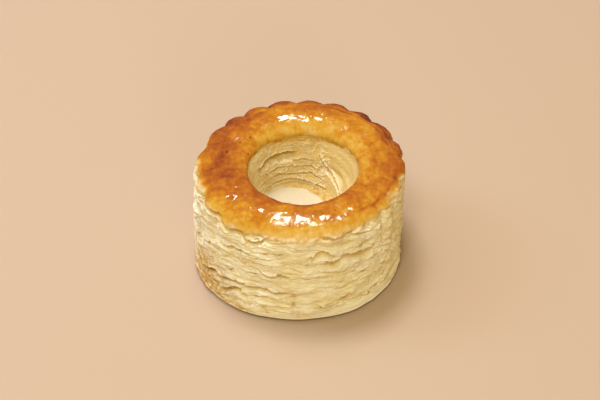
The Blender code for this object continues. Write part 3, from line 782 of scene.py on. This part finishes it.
def base_leaf():
    """The smooth leaf that the case stands on, and the flat under it."""
    ring = Round(BASE_COLUMNS)
    edge = wall_radius(ring, np.zeros(ring.columns))
    edge = edge + 0.10 * MM * ring.grain(0.5, 70, 90, 3)
    rows = [(edge - inset * MM, up * MM) for inset, up in BASE_SECTION]
    rows.append((edge * 0, 2.0 * MM))
    for share in np.linspace(0.0, 1.0, 40)[:-1]:
        dish = 0.10 * MM * np.sin(np.pi * share) + 0.02 * MM
        rows.append((mix(0.0, edge - 7.0 * MM, share), dish))
    radius = np.array([row[0] for row in rows])
    height = np.array([np.broadcast_to(row[1], ring.columns) for row in rows])
    under = smooth_step(edge - 1.5 * MM, edge - 6.0 * MM, radius)
    marks = {
        "toast": mix(toasting(ring, height), UNDERSIDE_TOAST, under),
        # Painted highlight on the upper part of the leaf's edge
        "lip": smooth_step(0.5 * MM, 1.4 * MM, height) * 0.7,
    }
    return close_poles(finished_shape("base_leaf", ring, radius, height, 0.0, marks))


# ---- the glazed crown
INWARD_OUTER = ((0.0, 0.309, 0.559, 0.766, 0.927, 1.0), (0.5, 0.352, 0.216, 0.104, 0.028, 0.0))
INWARD_INNER = ((0.0, 0.5, 0.819, 0.970, 1.0), (0.5, 0.648, 0.784, 0.896, 0.972))


def even_reaches(width, drop, roundness, count):
    """Reaches that are evenly spaced along the rounded section."""
    fine = np.sin(np.linspace(0, math.pi / 2, 400))
    fall = np.array([drop * rounded_fall(reach, roundness) for reach in fine])
    length = np.concatenate([[0], np.cumsum(np.hypot(np.diff(fine * width), np.diff(fall)))])
    return np.interp(np.linspace(0, length[-1], count), length, fine)


def crown_section(ring, low):
    """Rows from the wall's top over the crest to the mouth: their radius and height, how far they
    follow the well to the side, and how far across the crown they are."""
    edge_radius, edge_height = crown_point(ring, "outer", 1.0)
    rows = []
    for share in np.linspace(0.0, 1.0, 12)[:-1]:
        height = mix(low, edge_height, share)
        radius = mix(wall_radius(ring, height), edge_radius, share**2)
        rows.append((radius, height, 0.0, 0.0))
    for reach in even_reaches(10.5, 4.0, OUTER_ROUNDNESS, 46)[::-1]:
        inward = np.interp(reach, *INWARD_OUTER)
        rows.append((*crown_point(ring, "outer", reach), inward, 0.5 - 0.5 * reach))
    for reach in even_reaches(8.5, 3.0, INNER_ROUNDNESS, 36)[1:]:
        inward = np.interp(reach, *INWARD_INNER)
        rows.append((*crown_point(ring, "inner", reach), inward, 0.5 + 0.5 * reach))
    radius, height = crown_point(ring, "inner", 1.0)
    for down in (0.3, 0.7, 1.2):
        rows.append((radius, height - down * MM, 1.0, 1.0))
    radius, height, inward, across = (np.array(values) for values in zip(*rows))
    return radius, height, inward[:, None], across[:, None]


def crown_piece():
    """The glazed crown, from the wall's top to just inside the mouth."""
    ring = Round(CROWN_COLUMNS)
    low = ledge_height(ring, len(LEDGE_HEIGHTS) - 1)
    radius, height, inward, across = crown_section(ring, low)
    skin = flaky_skin(ring, height)
    glaze = np.maximum(glazed_share(ring, height), smooth_step(0.24, 0.36, across))
    marks = {
        "toast": toasting(ring, height),
        "glaze": glaze,
        "brown": browning(ring, across, radius),
        # Painted shade in the gaps and painted highlight on the leaves' edges, both less under the glaze
        "gap_shade": skin.gap_shade * (1 - 0.8 * glaze),
        "lip": skin.lip_highlight * (1 - glaze),
        "wet": wetness(ring, radius),
    }
    upright = 1 - smooth_step(0.0, 0.12, across)
    arc = radius - BASE_RADIUS + height
    blister = 0.16 * MM * ring.grain(arc / (5 * MM), 34, 40, 2)
    dimple = 0.020 * MM * ring.grain(arc / (0.9 * MM), 190, 41, 2)
    petal = 0.60 * MM * (np.abs(np.sin(ring.phase)) ** 0.75 - 0.55)
    petal = petal * (1.0 - 0.75 * ring.bump(-85, 70)) * smooth_step(0.40, 0.12, across)
    relief = mix(blister + dimple, skin.relief, upright * (1 - 0.7 * glaze)) + petal
    out_r, out_z = outward(radius, height)
    radius = radius + out_r * relief
    height = height + out_z * relief
    mouth_radius, mouth_height = crown_point(ring, "inner", 1.0)
    hidden = (
        (mouth_radius + 1.5 * MM, mouth_height - 1.4 * MM, 1.0),
        (mouth_radius + 4.0 * MM, 40 * MM, 0.8),
        (wall_radius(ring, low) - 4.0 * MM, low, 0.0),
        (wall_radius(ring, low) - 0.9 * MM, low + 0.1 * MM, 0.0),
    )
    return finished_shape("glazed_crown", ring, radius, height, inward, marks, hidden)


# ---- the well
def well_wall(ring, share):
    """The plain wall of the well, from the mouth at 0 to the foot at 1."""
    mouth, top = crown_point(ring, "inner", 1.0)
    height = mix(top, FLOOR_HEIGHT + FOOT_FILLET, share)
    radius = mix(mouth, FOOT_RADIUS, share**WELL_TAPER)
    lumps = WELL_LUMPS * ring_noise(ring.angle, 330.0 * height, 1.9)
    radius = radius + lumps * np.sin(np.pi * share)
    for gap_height, middle, half, depth, tall in WELL_GAPS:
        near = np.exp(-(((height - gap_height) / tall) ** 2))
        radius = radius + depth * near * ring.bump(middle, half)
    return radius, height


def well_skin(ring, height):
    """The torn leaves of the well's wall, calmer at the right."""
    skin = Skin(height.shape)
    ragged = 0.24 * MM * ring.grain(height / (3 * MM), 80, 320, 3, 0.8)
    for line, depth, gap, lip in WELL_FOLDS:
        skin.add(*fold(ring, height, ragged, line, depth, gap, lip))
    calm = 1.0 - 0.75 * ring.bump(14, 52)
    shallow = (1.0 - 0.8 * skin.gap_shade) * calm
    for pitch, wander, waves, size, seed in WELL_LEAVES:
        change, gap, lip = strata(ring, height, pitch * MM, wander, waves, seed)
        weight = calm * size / 0.60
        skin.add(size * MM * change * shallow, gap * weight, lip * weight)
    lumps = ring.grain(height / (5 * MM), 7, 24, 2)
    fibre = ring.grain(height / (0.55 * MM), 130, 23, 2)
    skin.relief = skin.relief + 0.35 * MM * lumps * shallow + 0.05 * MM * fibre
    back = ring.bump(95, 50)
    toast = smooth_step(38.8 * MM, 43.2 * MM, height + 1.5 * ragged + 2.2 * MM * back)
    return skin, toast * (0.8 + 0.3 * back)


def well_floor(ring):
    """Rows from the wall's foot over the floor to its middle: radius, height, crust, and a line of painted
    shade along the crust's edge.
    """
    bends = np.linspace(0, math.pi / 2, 7)[1:]
    outs = np.concatenate([np.linspace(1.0, 0.80, 16), np.linspace(0.77, 0.0, 14)])[1:]
    radius = np.concatenate([FOOT_RADIUS - FOOT_FILLET * np.sin(bends), (FOOT_RADIUS - FOOT_FILLET) * outs])
    rise = np.concatenate([FOOT_FILLET * (1 - np.sin(bends)), 0 * outs])
    radius, height = (values[:, None] * np.ones(ring.columns) for values in (radius, FLOOR_HEIGHT + rise))
    swell = 0.14 * MM * ring.grain(radius / (3 * MM), 11, 66, 3)
    edge = np.interp(ring.degrees, *zip(*CRUST_EDGE)) * MM
    edge = edge + 0.35 * MM * ring.grain(0.5, 26, 67, 3, 0.7)
    crust = smooth_step(edge - 0.25 * MM, edge + 0.15 * MM, radius)
    flakes = 0.45 * MM + 0.60 * MM * ring.grain(radius / (0.9 * MM), 60, 68, 2, 0.7)
    flakes = np.maximum(flakes, 0.10 * MM) * (1.0 + 0.9 * ring.bump(48, 34))
    height = height + swell * smooth_step(0.0, 4 * MM, radius) + crust * flakes
    # A line of painted shade along the crust's edge
    seam_shade = 0.45 * np.exp(-(((radius - edge) / (0.35 * MM)) ** 2))
    return radius, height, crust, seam_shade


def well_piece():
    """The well, from the mouth down its wall and over the floor; its back is hidden."""
    ring = Round(WELL_COLUMNS)
    share = np.linspace(0.0, 1.0, 112)[:, None]
    radius, height = well_wall(ring, share)
    skin, toast = well_skin(ring, height)
    relief = skin.relief * smooth_step(0.0, 0.06, share) * smooth_step(1.0, 0.97, share)
    floor_radius, floor_height, crust, seam_shade = well_floor(ring)
    radius = np.vstack([radius - relief, floor_radius])
    height = np.vstack([height, floor_height])
    below = ((0, len(floor_radius)), (0, 0))
    marks = {
        "toast": np.pad(toast, below),
        # Painted shade in the gaps and along the floor's crust edge, and painted highlight on the leaves'
        # edges
        "gap_shade": np.vstack([skin.gap_shade, seam_shade]),
        "lip": np.pad(skin.lip_highlight, below),
        # The well's inside, partly as painted shade, paler at its left as painted light
        "inside": np.ones(radius.shape) - 0.65 * ring.bump(172, 42),
        # The floor of the well, paler, partly as painted light
        "floor": np.pad(1.0 - crust, ((len(share), 0), (0, 0))),
    }
    hidden = (
        (0.0, FLOOR_HEIGHT - 2 * MM, 1.0),
        (FOOT_RADIUS + 4 * MM, FLOOR_HEIGHT - 2 * MM, 1.0),
        (MOUTH_RADIUS + 4 * MM, FLOOR_HEIGHT + 17 * MM, 1.0),
    )
    return close_poles(finished_shape("well_wall", ring, radius, height, 1.0, marks, hidden))


# ---- finishes
class Finish:
    """A material that is built up node by node."""

    def __init__(self, name):
        self.material = bpy.data.materials.new(name)
        self.material.use_nodes = True
        self.tree = self.material.node_tree
        self.shader = self.tree.nodes["Principled BSDF"]

    def node(self, kind):
        return self.tree.nodes.new("ShaderNode" + kind)

    def feed(self, socket, source):
        if isinstance(source, bpy.types.NodeSocket):
            self.tree.links.new(source, socket)
        else:
            socket.default_value = source

    def set(self, name, source):
        self.feed(self.shader.inputs[name], source)

    def mark(self, name):
        made = self.node("Attribute")
        made.attribute_name = name
        return made.outputs["Fac"]

    def value(self, operation, first, second, clamp=False):
        made = self.node("Math")
        made.operation = operation
        made.use_clamp = clamp
        self.feed(made.inputs[0], first)
        self.feed(made.inputs[1], second)
        return made.outputs[0]

    def plus(self, first, second):
        return self.value("ADD", first, second)

    def minus(self, first, second):
        return self.value("SUBTRACT", first, second)

    def times(self, first, second, clamp=False):
        return self.value("MULTIPLY", first, second, clamp)

    def blend(self, share, first, second):
        made = self.node("Mix")
        made.data_type = "RGBA"
        self.feed(made.inputs["Factor"], share)
        self.feed(made.inputs["A"], first)
        self.feed(made.inputs["B"], second)
        return made.outputs["Result"]

    def noise(self, scale, detail, rough=0.55):
        made = self.node("TexNoise")
        self.feed(made.inputs["Vector"], self.node("TexCoord").outputs["Object"])
        made.inputs["Scale"].default_value = scale
        made.inputs["Detail"].default_value = detail
        made.inputs["Roughness"].default_value = rough
        return made.outputs["Fac"]

    def bump(self, height, strength, distance):
        made = self.node("Bump")
        made.inputs["Distance"].default_value = distance
        self.feed(made.inputs["Strength"], strength)
        self.feed(made.inputs["Height"], height)
        self.set("Normal", made.outputs["Normal"])

    def ramp(self, source, stops):
        made = self.node("ValToRGB")
        ramp = made.color_ramp
        while len(ramp.elements) < len(stops):
            ramp.elements.new(0.5)
        for element, (position, colour) in zip(ramp.elements, stops):
            element.position = position
            element.color = (*colour, 1.0)
        self.feed(made.inputs["Fac"], source)
        return made.outputs["Color"]


# Bare pastry: its leaves in two tones, the lighter one also painted as highlight on their edges and
# shelves; painted shade in the gaps, pores and along the floor's crust edge; toasted spots, with a
# darker band under the glaze that is partly painted shade; the well's inside, darker and more golden,
# partly as painted shade, and paler at its left as painted light; and its floor, paler, partly as
# painted light
PALE = (0.88, 0.765, 0.405, 1)
# Also the painted highlight on the edges and shelves of the leaves
CREAM_AND_LIP_HIGHLIGHT = (1.0, 0.95, 0.69, 1)
# Painted shade in the gaps between leaves, in pores and along the floor's crust edge
GOLDEN_GAP_SHADE = (0.69, 0.45, 0.065, 1)
# Also the band of painted shade under the glaze
TOAST = (0.58, 0.33, 0.065, 1)
# The well's inside, darker and more golden, partly as painted shade
WELL = (0.70, 0.50, 0.165, 1)
# The floor of the well, paler, partly as painted light
FLOOR = (0.71, 0.62, 0.40, 1)
# The glaze, from barely to darkly baked
BAKED = (
    (0.00, (0.55, 0.375, 0.155)),
    (0.22, (0.54, 0.30, 0.030)),
    (0.42, (0.46, 0.170, 0.001)),
    (0.60, (0.35, 0.086, 0.001)),
    (0.80, (0.21, 0.034, 0.001)),
    (1.00, (0.13, 0.018, 0.001)),
)
PATCHES = ((0.42, (0, 0, 0)), (0.62, (1, 1, 1)))


def pastry_finish():
    """Matt flaky pastry, and glossy amber glaze where the glaze mark is 1."""
    finish = Finish("baked_pastry")
    # The gap mark is painted as shade and the lip mark as highlight
    glaze, gap_shade, lip = finish.mark("glaze"), finish.mark("gap_shade"), finish.mark("lip")

    patch = finish.ramp(finish.noise(120, 6, 0.7), PATCHES)
    pale = finish.blend(finish.times(patch, 0.75), PALE, CREAM_AND_LIP_HIGHLIGHT)
    # The well's inside, partly painted shade, paler at its left as painted light
    pale = finish.blend(finish.mark("inside"), pale, WELL)
    # The floor of the well, paler, partly as painted light
    pale = finish.blend(finish.mark("floor"), pale, FLOOR)
    # Painted highlight on the edges and shelves of the leaves
    pale = finish.blend(finish.times(lip, 0.8, clamp=True), pale, CREAM_AND_LIP_HIGHLIGHT)
    # Painted shade in the gaps
    pastry = finish.blend(gap_shade, pale, GOLDEN_GAP_SHADE)
    specks = finish.times(finish.minus(finish.noise(900, 4), 0.45), 1.6)
    toast = finish.times(finish.mark("toast"), finish.plus(1.0, specks), clamp=True)
    pastry = finish.blend(toast, pastry, TOAST)

    mottle = finish.times(finish.minus(finish.noise(520, 5), 0.5), 0.45)
    baked = finish.times(finish.plus(finish.mark("brown"), mottle), glaze, clamp=True)
    coated = finish.times(glaze, 1.5, clamp=True)
    finish.set("Base Color", finish.blend(coated, pastry, finish.ramp(baked, BAKED)))

    drops = finish.times(finish.minus(finish.noise(1300, 2, 0.5), 0.5), 4.0)
    wet = finish.minus(finish.plus(finish.mark("wet"), drops), 0.60)
    shine = finish.plus(0.04, finish.times(finish.times(wet, 12.0, clamp=True), 0.82))
    finish.set("Roughness", finish.minus(1.0, finish.times(glaze, shine)))
    finish.set("Specular IOR Level", 0.36)
    crumb = finish.value("SUBTRACT", 1.0, finish.times(glaze, 0.9), clamp=True)
    finish.bump(finish.noise(1100, 4, 0.6), crumb, 0.30 * MM)
    return finish.material


# ---- the pieces
pastry = pastry_finish()
pieces = (
    (wall_band("lower_leaves", None, 3), "pale_layers"),
    (wall_band("upper_leaves", 3, 7), "pale_layers"),
    (crown_piece(), "egg_glaze"),
    (well_piece(), "pale_layers"),
    (base_leaf(), "baked_pastry"),
)
for piece, slot in pieces:
    piece.data.materials.append(pastry)
    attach(piece, "root")
    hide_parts("pastry_case")

# ---- the studio
CAMERA_UP = math.radians(42.8)
CAMERA_DISTANCE = 1.0
PIXELS_PER_MM = 2.596
FRAME_PIXELS = (600, 400)
CASE_PIXEL = (296.9, 208.8)
CASE_MIDDLE = (*BASE_MIDDLE, 0.022)
LIT_MIDDLE = (0, 0, 0.03)
SENSOR_WIDTH = 36.0
PAPER = (0.505, 0.370, 0.238, 1)
SURROUNDINGS, SURROUNDINGS_STRENGTH = (1, 0.68, 0.26, 1), 0.47
# name, place, size, watts, colour
SOFT_LIGHTS = (
    ("key", (-0.147, 0.236, 1.116), (0.30, 0.30), 6.5, (0.97, 1.04, 1.16)),
    ("overhead", (-0.457, 0.166, 1.042), (0.90, 0.90), 3.9, (1.1, 0.9, 1.35)),
    ("side", (-0.868, 0.153, 0.739), (0.30, 0.30), 2.0, (0.50, 1.0, 1.60)),
    ("front", (-0.12, -0.66, 1.08), (0.28, 0.28), 4.9, (0.92, 1.02, 1.0)),
    ("low front", (0.22, -1.00, 0.42), (0.30, 0.30), 2.1, (0.92, 1.0, 0.96)),
)
# It shows only as the highlights on the glaze
GLEAM = ("gleam", (-0.05, 0.46, 0.93), (0.24, 0.18), 13.0, (0.88, 1.0, 0.92))


def camera():
    ahead = Vector((0, math.cos(CAMERA_UP), -math.sin(CAMERA_UP)))
    above = Vector((0, math.sin(CAMERA_UP), math.cos(CAMERA_UP)))
    metres_per_pixel = MM / PIXELS_PER_MM
    width, height = FRAME_PIXELS
    target = Vector(CASE_MIDDLE)
    target += Vector((1, 0, 0)) * (width / 2 - CASE_PIXEL[0]) * metres_per_pixel
    target += above * (CASE_PIXEL[1] - height / 2) * metres_per_pixel
    data = bpy.data.cameras.new("camera")
    data.sensor_width = SENSOR_WIDTH
    data.lens = SENSOR_WIDTH * CAMERA_DISTANCE / (width * metres_per_pixel)
    made = bpy.data.objects.new("camera", data)
    made.location = target - ahead * CAMERA_DISTANCE
    made.rotation_euler = ahead.to_track_quat("-Z", "Y").to_euler()
    bpy.context.scene.collection.objects.link(made)
    bpy.context.scene.camera = made


def area_light(name, place, size, watts, colour):
    data = bpy.data.lights.new(name, "AREA")
    data.shape = "RECTANGLE"
    data.size, data.size_y = size
    data.energy = watts
    data.color = colour
    made = bpy.data.objects.new(name, data)
    made.location = place
    made.rotation_euler = (Vector(LIT_MIDDLE) - made.location).to_track_quat("-Z", "Y").to_euler()
    bpy.context.scene.collection.objects.link(made)
    return made


def studio():
    bpy.ops.object.select_all(action="DESELECT")
    bpy.ops.mesh.primitive_plane_add(size=8.0)
    floor = bpy.context.object
    floor.name = "floor"
    paper = Finish("paper")
    paper.set("Base Color", PAPER)
    paper.set("Roughness", 1.0)
    floor.data.materials.append(paper.material)
    world = bpy.data.worlds.new("studio")
    world.use_nodes = True
    background = world.node_tree.nodes["Background"]
    background.inputs["Color"].default_value = SURROUNDINGS
    background.inputs["Strength"].default_value = SURROUNDINGS_STRENGTH
    world.cycles_visibility.glossy = False
    bpy.context.scene.world = world
    bpy.context.scene.view_settings.view_transform = "Standard"
    for light in SOFT_LIGHTS:
        area_light(*light).visible_glossy = False
    area_light(*GLEAM).visible_diffuse = False


camera()
studio()
